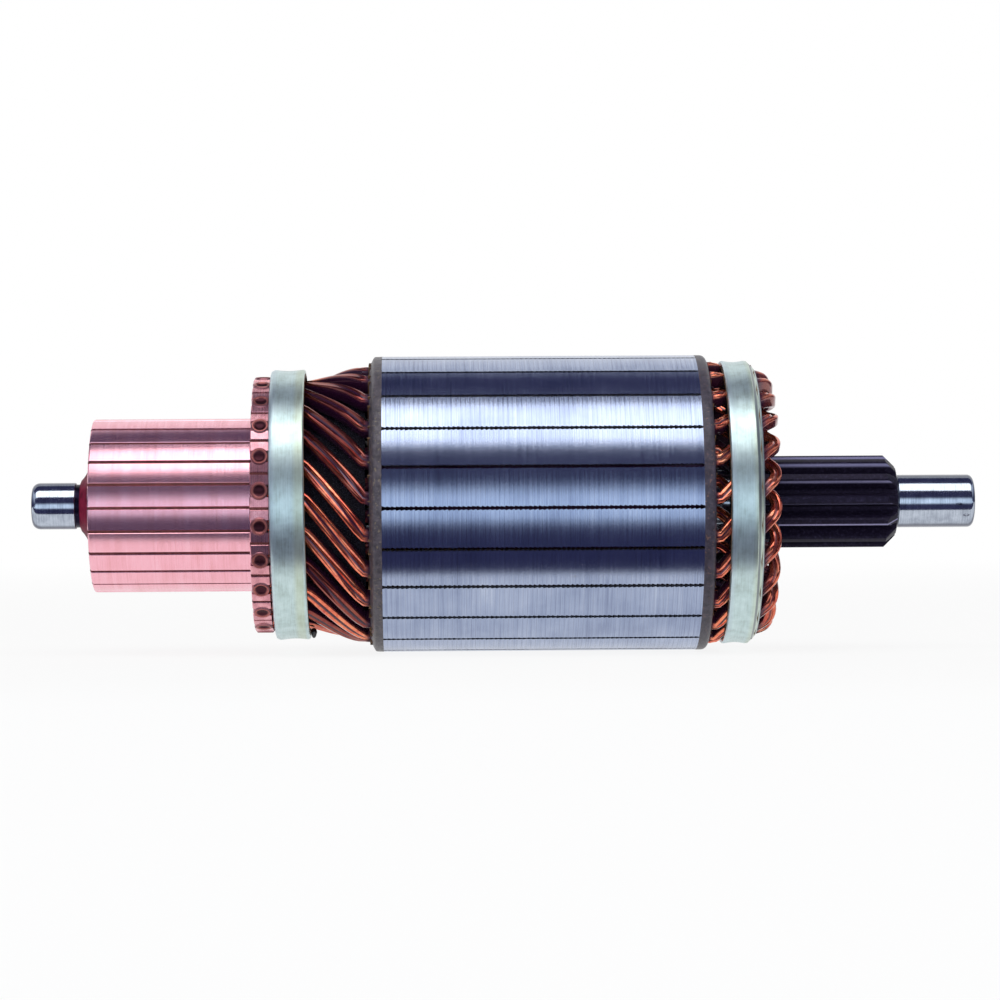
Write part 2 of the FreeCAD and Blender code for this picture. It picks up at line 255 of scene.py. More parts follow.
class Shop:
    """A node tree under construction, of a new material or of the world."""

    def __init__(self, name: str, world: bool = False) -> None:
        """Start a material or a world."""
        self.owner = (bpy.data.worlds if world else bpy.data.materials).new(name)
        self.owner.use_nodes = True
        self.tree = self.owner.node_tree
        self.shader = self.tree.nodes["Background" if world else "Principled BSDF"]

    def node(self, kind: str, settings: dict, inputs: dict, output: Union[int, str] = 0) -> Wire:
        """Add any node.

        Args:
            kind: the node's type.
            settings: its properties, and "stops" for a ramp.
            inputs: values or wires by socket name or number.
            output: which of its outputs is wanted.

        Returns:
            The wanted output.
        """
        made = self.tree.nodes.new(kind)
        for key, value in settings.items():
            if key == "stops":
                elements = made.color_ramp.elements
                while len(elements) < len(value):
                    elements.new(0.5)
                for element, (place, colour) in zip(elements, value):
                    element.position = place
                    element.color = (*colour, 1)
            else:
                setattr(made, key, value)
        for key, value in inputs.items():
            self.feed(made.inputs[key], value)
        return Wire(self, made.outputs[output])

    def feed(self, socket: bpy.types.NodeSocket, value: Value) -> None:
        """Link a wire to a socket, or set its plain value."""
        if isinstance(value, Wire):
            self.tree.links.new(value.socket, socket)
        elif isinstance(value, (int, float)):
            socket.default_value = value
        else:
            alpha = (1.0,) * (len(socket.default_value) - len(value))
            socket.default_value = (*value, *alpha)

    def place(self, along: float = 1.0) -> Wire:
        """Object coordinates in millimetres, scaled along the shaft."""
        coords = self.node("ShaderNodeTexCoord", {}, {}, "Object")
        return self.node("ShaderNodeMapping", {}, {
            "Vector": coords, "Scale": (along / MM, 1 / MM, 1 / MM)})

    def axes(self) -> tuple[Wire, Wire, Wire]:
        """Object coordinates in millimetres, one by one."""
        parts = self.node("ShaderNodeSeparateXYZ", {}, {0: self.place()}).socket.node
        return tuple(Wire(self, socket) for socket in parts.outputs)

    def round_place(self) -> tuple[Wire, Wire, Wire]:
        """Station, distance from the axis, and turn round it from 0 to 1."""
        x, y, z = self.axes()
        return x, (y * y + z * z) ** 0.5, z.arctan2(0.0 - y) / tau + 0.5

    def noise(self, place: Wire, scale: float, detail: float = 4.0, rough: float = 0.55) -> Wire:
        """Noise value from 0 to 1; the scale is in features a millimetre."""
        return self.node("ShaderNodeTexNoise", {}, {
            "Vector": place, "Scale": scale, "Detail": detail, "Roughness": rough})

    def brushed(self, x: Value, y: Value, z: Value, detail: float = 4.0,
                rough: float = 0.55) -> Wire:
        """Noise on a place of three values, such as lines round the shaft."""
        place = self.node("ShaderNodeCombineXYZ", {}, {0: x, 1: y, 2: z})
        return self.noise(place, 1.0, detail, rough)

    def ramp(self, factor: Wire, *stops: Stop) -> Wire:
        """Colour ramp."""
        return self.node("ShaderNodeValToRGB", {"stops": stops}, {0: factor})

    def step(self, value: Wire, low: float, high: float) -> Wire:
        """Soft step: 0 below low, 1 above high."""
        return self.node("ShaderNodeMapRange", {"interpolation_type": "SMOOTHSTEP"}, {
            "Value": value, "From Min": low, "From Max": high})

    def fall(self, value: Wire, low: float, high: float) -> Wire:
        """Soft fall: 1 below low, 0 above high."""
        return 1 - self.step(value, low, high)

    def between(self, value: Wire, rise: Pair, fall: Pair) -> Wire:
        """Soft mask that rises over one range and falls over another."""
        return self.step(value, *rise) * self.fall(value, *fall)

    def spot(self, x: Wire, turn: Wire, at: Pair, size: Pair) -> Wire:
        """Soft spot round a station and an angle, 1 in its middle."""
        along = (x - at[0]) / size[0]
        across = (turn * 360.0 - (180.0 + at[1])) / size[1]
        return self.fall(along * along + across * across, 0.5, 1.2)

    def facing(self, blend: float) -> Wire:
        """How far a face turns to its rim."""
        return self.node("ShaderNodeLayerWeight", {}, {"Blend": blend}, "Facing")

    def over(self, colour: Value, *layers: tuple[Value, Value]) -> Wire:
        """Colour under layers of (mask, tint), laid on in order."""
        for mask, tint in layers:
            colour = self.node("ShaderNodeMix", {"data_type": "RGBA"},
                               {0: mask, 6: colour, 7: tint}, 2)
        return colour

    def bump(self, height: Wire, strength: float, distance: float) -> Wire:
        """Bump normal from a height; the distance is in metres."""
        return self.node("ShaderNodeBump", {}, {
            "Height": height, "Strength": strength, "Distance": distance})

    def seen(self) -> Wire:
        """1 for rays from the camera, from mirrors and through glass, else 0."""
        rays = [self.node("ShaderNodeLightPath", {}, {}, "Is %s Ray" % kind)
                for kind in ("Camera", "Transmission", "Glossy")]
        return rays[0].most(rays[1]).most(rays[2])

    def shade(self, **sockets: Value) -> Union[Material, bpy.types.World]:
        """Feed the shader's sockets, named with underscores for spaces, and end."""
        for key, value in sockets.items():
            self.feed(self.shader.inputs[key.replace("_", " ")], value)
        return self.owner


# Finishes

@dataclass(frozen=True)
class ShaftSteel:
    """Shaft: bright ground journals, a dark undercut and a dark hardened gear, with painted
    highlights on its teeth and painted shade at grazing rims.
    """

    undercut: Pair
    gear: Pair
    tip: float = 10.9
    # Turn of the painted highlight line on each tooth, in degrees.
    highlight_side: float = 5.6

    def build(self) -> Material:
        """Make the material."""
        shop = Shop("shaft_steel_dressed")
        x, radius, turn = shop.round_place()
        lines = shop.brushed(x * 7.0, turn * 3.0, radius * 0.5, 5.0, 0.65)
        cloud = shop.noise(shop.place(), 0.35)
        spots = shop.noise(shop.place(), 1.6, 6.0, 0.7)
        bright = shop.ramp(
            shop.step(lines * 0.6 + cloud * 0.5, 0.3, 0.8),
            (0.0, (0.26, 0.29, 0.36)), (0.5, (0.46, 0.51, 0.60)), (1.0, (0.60, 0.66, 0.76)))
        oiled = shop.ramp(spots, (0.30, (0.006, 0.004, 0.012)), (0.55, (0.013, 0.010, 0.026)),
                          (0.80, (0.045, 0.038, 0.080)))
        # Painted highlights on the gear: a lighter line on one corner of every tooth, dimmed in
        # a patch just below the front, and lighter tip lands in a patch lower on the front.
        tooth = ((turn * 360.0 - (180.0 - self.highlight_side)) / 30.0 + 12.0).fract()
        flank = shop.between(tooth, (0.02, 0.05), (0.07, 0.11))
        flank = flank * shop.step(radius, self.tip - 1.4, self.tip - 0.6)
        faint = shop.spot(x, turn, (180.0, -6.4), (60.0, 12.0))
        tip_highlight = shop.between(tooth, (0.13, 0.16), (0.19, 0.23))
        tip_highlight = tip_highlight * shop.spot(x, turn, (180.0, -30.0), (60.0, 12.0))
        oiled = shop.over(
            oiled, (flank * (0.45 + lines * 0.6) * (1 - faint * 0.45), (0.30, 0.29, 0.50)),
            (tip_highlight * (0.35 + lines * 0.6), (0.42, 0.40, 0.66)))
        low, high = self.gear
        in_gear = shop.between(x, (low - 0.4, low), (high + 0.1, high + 0.5))
        low, high = self.undercut
        dull = in_gear.most(shop.between(x, (low - 0.1, low + 0.1), (high - 0.1, high + 0.1)))
        # Dark scratches at two spots on the journal, together with painted shade where a face
        # turns away towards its rim.
        scratches_and_rim_shade = shop.spot(x, turn, (214.2, -7.2), (0.9, 3.2)).most(
            shop.spot(x, turn, (216.0, -32.6), (0.8, 3.6))) * shop.step(spots, 0.40, 0.55)
        scratches_and_rim_shade = scratches_and_rim_shade.most(shop.step(shop.facing(0.5), 0.40, 0.62) * 0.85)
        colour = shop.over(bright, (scratches_and_rim_shade * 0.9, (0.03, 0.03, 0.06)), (dull, oiled))
        return shop.shade(
            Base_Color=colour, Metallic=1.0 - in_gear * 0.75, Specular_IOR_Level=0.10,
            Roughness=0.09 + lines * 0.08 + dull * 0.16 + spots * dull * 0.14,
            Normal=shop.bump(lines * (1 - dull) * 0.4 + spots * dull, 0.35, 0.00004))


@dataclass(frozen=True)
class CoreSteel:
    """Ground lamination steel: fine lines round the stack and faint plate joints, with painted
    shade in the slot mouths and slots.
    """

    plate: float

    def build(self) -> Material:
        """Make the material."""
        shop = Shop("core_steel_dressed")
        x, radius, turn = shop.round_place()
        fine = shop.brushed(x * 4.6, turn * 11.0, 0.0, 6.0, 0.7)
        wide = shop.brushed(x * 0.9, turn * 7.0, 0.0, 4.0, 0.6)
        cloud = shop.noise(shop.place(), 0.09, 3.0)
        joint = shop.fall(x.pingpong(self.plate / 2), 0.0, 0.16)
        tone = fine * 0.42 + wide * 0.34 + cloud * 0.34
        colour = shop.ramp(
            shop.step(tone, 0.30, 0.80), (0.0, (0.22, 0.26, 0.40)), (0.42, (0.34, 0.40, 0.56)),
            (0.75, (0.42, 0.48, 0.64)), (1.0, (0.54, 0.60, 0.74)))
        rust = shop.step(shop.noise(shop.place(0.35), 0.55, 5.0, 0.7), 0.62, 0.82)
        colour = shop.over(colour, (rust * 0.30, (0.34, 0.30, 0.26)),
                           (joint * 0.18, (0.10, 0.10, 0.14)))
        # Painted shade: everything below the outer skin, such as the slot mouths and slot walls,
        # is dark brown.
        edge = shop.step(radius, 33.9, 34.95)
        colour = shop.over((0.045, 0.026, 0.016), (edge, colour))
        return shop.shade(
            Base_Color=colour, Metallic=0.35 + edge * 0.65,
            Roughness=0.12 + fine * 0.16 + rust * 0.08,
            Normal=shop.bump(fine * 0.9 + wide * 0.3 - joint * 0.5, 0.5, 0.00007))


@dataclass(frozen=True)
class TurnedCopper:
    """Machined commutator copper: pink, with turning lines, duller risers with burnt weld pits,
    and painted shade on the bar sides.
    """

    riser: float
    track: float
    start: float
    crown: float = 30.0
    pit_at: float = 2.25

    def build(self) -> Material:
        """Make the material."""
        shop = Shop("commutator_copper_dressed")
        x, radius, turn = shop.round_place()
        lines = shop.brushed(x * 5.0, turn * 2.0, radius * 0.4, 6.0, 0.7)
        broad = shop.brushed(x * 0.35, turn * 9.0, radius * 0.1, 3.0)
        cloud = shop.noise(shop.place(), 0.5, 5.0, 0.65)
        face = shop.ramp(
            shop.step(lines * 0.50 + broad * 0.40 + cloud * 0.12, 0.25, 0.80),
            (0.0, (0.84, 0.38, 0.42)), (0.5, (0.97, 0.49, 0.58)), (1.0, (1.0, 0.60, 0.69)))
        worn = shop.ramp(cloud, (0.25, (0.22, 0.060, 0.070)), (0.50, (0.58, 0.22, 0.24)),
                         (0.75, (0.92, 0.50, 0.50)))
        on_riser = shop.step(x, self.riser - 0.2, self.riser + 0.3)
        bar = ((turn * 360.0 - (180.0 + SLOT_TURN)) / PITCH + float(SLOTS)).fract()
        across = (bar - 0.5) * radians(PITCH) * self.crown
        along = x - (self.riser + self.pit_at)
        away = (across * across + along * along) ** 0.5
        burnt = on_riser * shop.fall(away, 1.7, 2.35)
        ring = shop.between(away, (1.15, 1.5), (1.7, 2.0)) * on_riser
        pit = on_riser * shop.fall(away, 0.95, 1.45)
        # Painted shade on the bar sides, in the gaps between bars below the running track.
        side = shop.fall(radius, self.track - 0.9, self.track - 0.25)
        side = side * shop.step(x, self.start + 0.05, self.start + 0.2)
        colour = shop.over(
            face, (on_riser * 0.6, worn), (burnt * 0.94, (0.055, 0.010, 0.018)),
            (ring * 0.6, (0.62, 0.20, 0.18)), (pit * 0.97, (0.050, 0.010, 0.018)),
            (side, (0.12, 0.022, 0.014)))
        return shop.shade(
            Base_Color=colour, Metallic=0.96 - burnt * 0.12,
            Roughness=0.17 + lines * 0.12 + on_riser * 0.05 + burnt * 0.10,
            Normal=shop.bump(lines + cloud * 0.25, 0.35, 0.00005))


@dataclass(frozen=True)
class Enamel:
    """Copper strip under red-brown enamel, with painted shade on its sides, in its groove, on
    its inner layer, in the slots and beside the drive-end band.

    The strips differ in how brown they are, by the slot that each one leaves.
    """

    core: Pair
    band_end: float
    run: Pair
    twist: float
    middle: float = 100.0
    nose_from: float = 166.0

    def build(self) -> Material:
        """Make the material."""
        shop = Shop("enamelled_copper_dressed")
        place = shop.place()
        cloud = shop.noise(place, 0.30, 4.0, 0.6)
        fleck = shop.noise(place, 1.7, 5.0, 0.65)
        x, radius, turn = shop.round_place()
        colour = shop.ramp(
            shop.step(cloud * 0.7 + fleck * 0.4, 0.35, 0.80),
            (0.0, (0.55, 0.072, 0.048)), (0.5, (0.95, 0.24, 0.12)), (1.0, (1.0, 0.42, 0.22)))
        soot = shop.step(shop.noise(place, 0.20, 5.0, 0.7), 0.58, 0.72)
        front = shop.fall(x, self.middle, self.middle + 1.0)
        # Painted shade deeper in: on the inner layer at the commutator end, and on anything
        # within about 27 mm of the axis.
        inner_shade = shop.fall(radius, 27.4, 29.4) * front
        inner_shade = inner_shade.most(shop.fall(radius, 24.5, 27.0) * 0.7)
        low, high = self.core
        # Painted shade on the strip inside the core's slots.
        in_slot = shop.between(x, (low - 2.0, low), (high, high + 1.0))
        # Painted shade on the strip's sides and in its groove, read from the mark attribute, so
        # only the two outer ridges keep their colour; less of it on the noses.
        outer = shop.node("ShaderNodeAttribute", {"attribute_name": "mark"}, {}, "Fac")
        nose = shop.step(x, self.nose_from, self.nose_from + 2.0)
        side = shop.fall(outer, 0.45, 1.0) * (1 - nose * 0.25)
        # Painted shadow on the strips beside the end of the drive-end band.
        end = self.band_end
        under_band = shop.between(x, (end - 4.0, end - 3.0), (end + 0.2, end + 2.2))
        # Dark mask: random soot patches, together with all the painted shade and shadow.
        dark = (soot * 0.5).most(inner_shade * 0.93).most(in_slot).most(side * 0.96)
        # Painted shade where a face turns away towards its rim.
        dark = dark.most(shop.step(shop.facing(0.35), 0.45, 0.95) * 0.75)
        dark = dark.most(under_band * 0.92)
        left = shop.node("ShaderNodeMapRange", {}, {
            "Value": x, "From Min": self.run[0], "From Max": self.run[1],
            "To Min": self.twist, "To Max": 0.0})
        home = (turn * 360.0 - (180.0 + SLOT_TURN - PITCH / 2) - left) / 360.0
        strip = (home.fract() * float(SLOTS)).floor()
        luck = shop.node("ShaderNodeTexWhiteNoise", {"noise_dimensions": "1D"}, {"W": strip})
        # Browner patches: a painted shaded patch on the strips high on the front near the core,
        # a browner tint on the noses, and a random browner tone on some strips at the commutator
        # end.
        brown = shop.spot(x, turn, (75.0, 50.0), (40.0, 38.0)).most(nose * 0.3)
        brown = brown.most(shop.step(luck, 0.30, 0.65) * front)
        colour = shop.over(colour, (brown * 0.8, (0.14, 0.014, 0.016)),
                           (dark, (0.028, 0.007, 0.036)))
        return shop.shade(
            Base_Color=colour, Metallic=0.95 - dark * 0.6,
            Roughness=0.07 + fleck * 0.07 + in_slot * 0.4,
            Coat_Weight=0.5 - in_slot * 0.5, Coat_Roughness=0.05,
            Normal=shop.bump(fleck + cloud, 0.15, 0.00004))


@dataclass(frozen=True)
class Zinc:
    """Passivated plating of a ring: pale grey-green with stains and a yellow edge, a painted
    highlight along its first edge, and on a lipped ring painted shade at the bend and the rolled
    end.
    """

    low: float
    high: float
    lipped: bool = False

    def build(self) -> Material:
        """Make the material."""
        shop = Shop("band_zinc_%d" % round(self.low))
        x, _, turn = shop.round_place()
        cloud = shop.noise(shop.place(), 0.28, 5.0, 0.6)
        fine = shop.brushed(x * 3.0, turn * 26.0, 0.0, 5.0, 0.65)
        colour = shop.ramp(
            shop.step(cloud * 0.65 + fine * 0.45, 0.30, 0.80),
            (0.0, (0.40, 0.50, 0.48)), (0.45, (0.55, 0.69, 0.69)), (1.0, (0.69, 0.84, 0.85)))
        across = (x - self.low) / (self.high - self.low)
        # Painted highlight: lighter and bluer along the first edge.
        edge_highlight = shop.fall(across, 0.02, 0.22)
        warm = shop.between(across, (0.62, 0.80), (0.92, 1.0))
        stain = shop.step(shop.noise(shop.place(), 0.8, 6.0, 0.7), 0.60, 0.78)
        colour = shop.over(
            colour, (edge_highlight * 0.35, (0.58, 0.68, 0.80)), (warm * 0.28, (0.60, 0.62, 0.28)),
            (stain * 0.22, (0.30, 0.27, 0.18)))
        if self.lipped:
            end = self.high
            # Painted shade in the bend before the lip and on the rolled end.
            line = shop.between(x, (end - 1.65, end - 1.45), (end - 1.05, end - 0.85))
            line = line.most(shop.step(x, end - 0.4, end - 0.1))
            colour = shop.over(colour, (line * 0.75, (0.12, 0.13, 0.17)))
        return shop.shade(Base_Color=colour, Metallic=0.85, Roughness=0.28 + fine * 0.14,
                          Normal=shop.bump(fine + cloud, 0.35, 0.00008))


@dataclass(frozen=True)
class Mottled:
    """A rough non-metal of two tones with flecks, such as fibre or varnished paper."""

    name: str
    light: Colour
    dark: Colour
    fleck: Colour
    rough: float
    scale: float
    fleck_share: float
    coat: float = 0.0
    depth: float = 0.00012
    gloss: float = 0.5

    def build(self) -> Material:
        """Make the material."""
        shop = Shop(self.name)
        place = shop.place()
        cloud = shop.noise(place, 0.55 * self.scale, 5.0, 0.65)
        grit = shop.noise(place, 3.2 * self.scale, 4.0, 0.7)
        spots = shop.step(shop.noise(place, 1.3 * self.scale, 3.0), 0.58, 0.70)
        colour = shop.over(
            self.dark, (shop.step(cloud * 0.7 + grit * 0.4, 0.35, 0.75), self.light),
            (spots * self.fleck_share, self.fleck))
        return shop.shade(
            Base_Color=colour, Roughness=self.rough + grit * 0.2 - 0.1,
            Specular_IOR_Level=self.gloss, Coat_Weight=self.coat, Coat_Roughness=0.12,
            Normal=shop.bump(grit + cloud * 0.8, 0.5, self.depth))


class Look(Enum):
    """Non-metal finishes of the insulation, by name."""

    FIBRE = Mottled("disc_fibre_dressed", (0.10, 0.085, 0.105), (0.020, 0.015, 0.026),
                    (0.34, 0.27, 0.15), 0.45, 1.3, 0.45, 0.15, 0.0002)
    DARK_FIBRE = Mottled("dark_fibre_dressed", (0.060, 0.048, 0.075), (0.012, 0.009, 0.020),
                         (0.26, 0.13, 0.09), 0.45, 1.3, 0.45, 0.15, 0.0002)
    HUB = Mottled("hub_moulding_dressed", (0.26, 0.018, 0.055), (0.10, 0.006, 0.022),
                  (0.30, 0.04, 0.06), 0.45, 0.8, 0.30, 0.0, 0.00012, 0.06)
    MICA = Mottled("mica_dressed", (0.19, 0.045, 0.042), (0.065, 0.012, 0.014),
                   (0.26, 0.10, 0.08), 0.55, 1.6, 0.30)
    PAPER = Mottled("insulating_paper_dressed", (0.20, 0.11, 0.05), (0.06, 0.030, 0.018),
                    (0.36, 0.24, 0.12), 0.55, 1.2, 0.35)
    VARNISH = Mottled("varnished_paper_dressed", (0.010, 0.008, 0.015), (0.003, 0.002, 0.006),
                      (0.03, 0.03, 0.065), 0.26, 1.0, 0.35, 0.0, 0.0008, 0.3)
    DROP = Mottled("varnish_drop_dressed", (0.012, 0.011, 0.013), (0.004, 0.004, 0.006),
                   (0.05, 0.04, 0.04), 0.30, 1.0, 0.3, 0.6, 0.0001)


# Shaft

@dataclass
class Shaft:
    """Shaft in one closed skin: journals, undercut, seat and sun gear."""

    teeth: int = 12
    journal_c: float = 5.5
    bevel_c: Pair = (1.9, 1.5)
    undercut: float = 5.1
    body: float = 8.5
    journal_d: float = 6.25
    round_d: float = 1.3
    root: float = 7.8
    tip: float = 10.9
    tooth_turn: float = 2.4
    tip_half: float = 0.62
    flank: float = 1.25
    chamfer: float = 2.6
    undercut_from: float = 5.15
    seat_from: float = 8.35
    gear_from: float = 161.85
    gear_to: float = 199.4
    journal_from: float = 200.1
    around: int = 288

    def tooth_radius(self, angle: float) -> float:
        """Radius of the gear's section at an angle, with rounded roots and tips."""
        pitch = 360.0 / self.teeth
        away = abs((angle - self.tooth_turn + pitch / 2) % pitch - pitch / 2)
        arc = radians(away) * (self.tip + self.root) / 2
        rise = 1 - smooth((arc - self.tip_half) / self.flank)
        return self.root + (self.tip - self.root) * rise

    def rings(self, pairs: Pairs, gear: bool = False) -> list[Ring]:
        """Rings of the skin from stations and radii, cut to the teeth in the gear."""
        angles = [360.0 * i / self.around for i in range(self.around)]
        teeth = [self.tooth_radius(angle) if gear else self.tip * 2 for angle in angles]
        return [[polar(x, min(tooth, radius), angle) for tooth, angle in zip(teeth, angles)]
                for x, radius in pairs]

    def build(self) -> None:
        """Make and dress the shaft."""
        low, high = span("rotor_shaft")
        long, tall = self.bevel_c
        foot = self.journal_c - tall
        turns = [radians(90 * k / 7) for k in range(1, 7)]
        front = [(low, 1.2), (low, 2.6), (low, foot)]
        front += [(low + long * (1 - cos(a)), foot + tall * sin(a)) for a in turns]
        cut, seat = self.undercut_from, self.seat_from
        front += [(low + long + 0.05, self.journal_c), (cut - 0.12, self.journal_c),
                  (cut, self.journal_c - 0.12), (cut + 0.02, self.undercut),
                  (seat, self.undercut), (seat, self.body), (self.gear_from - 0.1, self.body)]
        start, end, full = self.gear_from, self.gear_to, self.tip
        gear = [(start, self.body + 0.02), (start + 0.3, full - 0.3), (start + 0.7, full)]
        gear += [(end - self.chamfer * (1 - k / 8), full - self.chamfer * k / 8)
                 for k in range(9)]
        back = [(end + 0.05, 7.4), (end + 0.35, 6.9), (self.journal_from, self.journal_d),
                (high - self.round_d - 0.05, self.journal_d)]
        back += round_end(high, self.journal_d, self.round_d, 6) + [(high, 3.4), (high, 1.4)]
        bm = bmesh.new()
        skin(bm, self.rings(front) + self.rings(gear, True) + self.rings(back))
        steel = ShaftSteel((cut, seat), (start, end)).build()
        dress(bm, "shaft_and_sun_gear", steel, "shaft_steel", "rotor_shaft")


# Core and end discs

@dataclass
class Core:
    """Laminated core with jagged slot mouths, and the disc at each end."""

    radius: float = 35.0
    opening: float = 0.74
    jag: float = 0.05
    lip: float = 1.5
    slot_width: float = 3.5
    slot_depth: float = 9.4
    bore: float = 8.54
    bore_steps: int = 92
    plate: float = 1.08
    plate_gap: float = 0.12
    rim: float = 0.35
    rim_steps: int = 184
    joint: float = 0.6
    tooth_steps: int = 5
    seed: int = 23

    def at_slot(self, x: float, number: int, path: Pairs) -> Ring:
        """Points at a slot, from how far each lies from the axis and across the slot."""
        spin = about(-(SLOT_TURN + number * PITCH))
        return [spin @ Vector((x, -depth, across)) * MM for depth, across in path]

    def section(self, x: float, shift: Floats) -> Ring:
        """Outline of the slotted section at a station.

        Args:
            x: the station.
            shift: how far each edge of each mouth stands off its place.

        Returns:
            The closed outline, slot by slot.
        """
        radius, half = self.radius, self.opening / 2
        top = radius - self.lip
        low = top - self.slot_depth
        wide = self.slot_width / 2
        points = []
        for i in range(SLOTS):
            left, right = half + shift[2 * i], half + shift[2 * i + 1]
            points += self.at_slot(x, i, [
                (sqrt(radius ** 2 - left ** 2), -left), (top, -left), (top, -wide),
                (low, -wide), (low, wide), (top, wide), (top, right),
                (sqrt(radius ** 2 - right ** 2), right)])
            home = SLOT_TURN + i * PITCH
            begin = home + degrees(right / radius)
            until = home + PITCH - degrees((shift[(2 * i + 2) % (2 * SLOTS)] + half) / radius)
            points += [polar(x, radius, begin + (until - begin) * k / self.tooth_steps)
                       for k in range(1, self.tooth_steps)]
        return points

    def body(self, sections: list[Ring], holes: Sequence[list[Ring]] = ()) -> Mesh:
        """Closed body with a bore, through outlines along the shaft, with any holes."""
        bm = bmesh.new()
        ends = sections[0][0].x, sections[-1][0].x
        bore = [[polar(x / MM, self.bore, 360.0 * k / self.bore_steps)
                 for k in range(self.bore_steps)] for x in ends]
        for wall in (sections, bore, *holes):
            skin(bm, wall, capped=False)
        for x in ends:
            rim = [e for e in bm.edges if e.is_boundary and
                   all(abs(v.co.x - x) < SAME for v in e.verts)]
            bmesh.ops.triangle_fill(bm, edges=rim, use_beauty=True, use_dissolve=False)
        return bm

    def disc(self, name: str, node: str, look: Look, rings: Pairs) -> None:
        """Make and dress one disc from the stations and radii of its rim."""
        sections = [[polar(x, min(r, self.radius), 360.0 * k / self.rim_steps)
                     for k in range(self.rim_steps)] for x, r in rings]
        top = self.radius - self.lip
        low, wide = top - self.slot_depth, self.slot_width / 2
        tops = [(x, min(top, r - self.rim)) for x, r in rings]
        holes = [[self.at_slot(x, i, [(low, -wide), (high, -wide), (high, wide), (low, wide)])
                  for x, high in tops] for i in range(SLOTS)]
        dress(self.body(sections, holes), name, look.value.build(), "disc_fibre", node)

    def build(self) -> None:
        """Make and dress the core and both discs."""
        low, high = span("core_stack")
        high -= self.joint
        rng = random.Random(self.seed)
        plates = round((high - low) / self.plate)
        sections = []
        for k in range(plates):
            start = low + (high - low) * k / plates + (self.plate_gap if k else 0.0)
            end = low + (high - low) * (k + 1) / plates
            end -= self.plate_gap if k < plates - 1 else 0.0
            for x, offset in ((start, 0.15), (end, -0.09)):
                shift = [offset + rng.uniform(-self.jag, self.jag) for _ in range(2 * SLOTS)]
                sections.append(self.section(x, shift))
        dress(self.body(sections), "laminated_core", CoreSteel(self.plate).build(),
              "core_steel", "core_stack")
        full, foot = self.radius, self.radius - 1.95
        low, high = span("end_disc_commutator_side")
        rings = [(low, foot - 0.3), (low + 0.15, foot)]
        rings += [(low + 0.15 + 1.15 * k / 4, foot + 1.9 * sin(radians(90 * k / 4)))
                  for k in range(1, 5)]
        self.disc("end_disc_commutator", "end_disc_commutator_side", Look.FIBRE,
                  rings + [(high, full)])
        low, high = span("end_disc_drive_side")
        rings = [(low - self.joint, full), (high - 1.3, full)] + round_end(high, full, 1.3, 5)
        self.disc("end_disc_drive", "end_disc_drive_side", Look.DARK_FIBRE, rings)


# Commutator

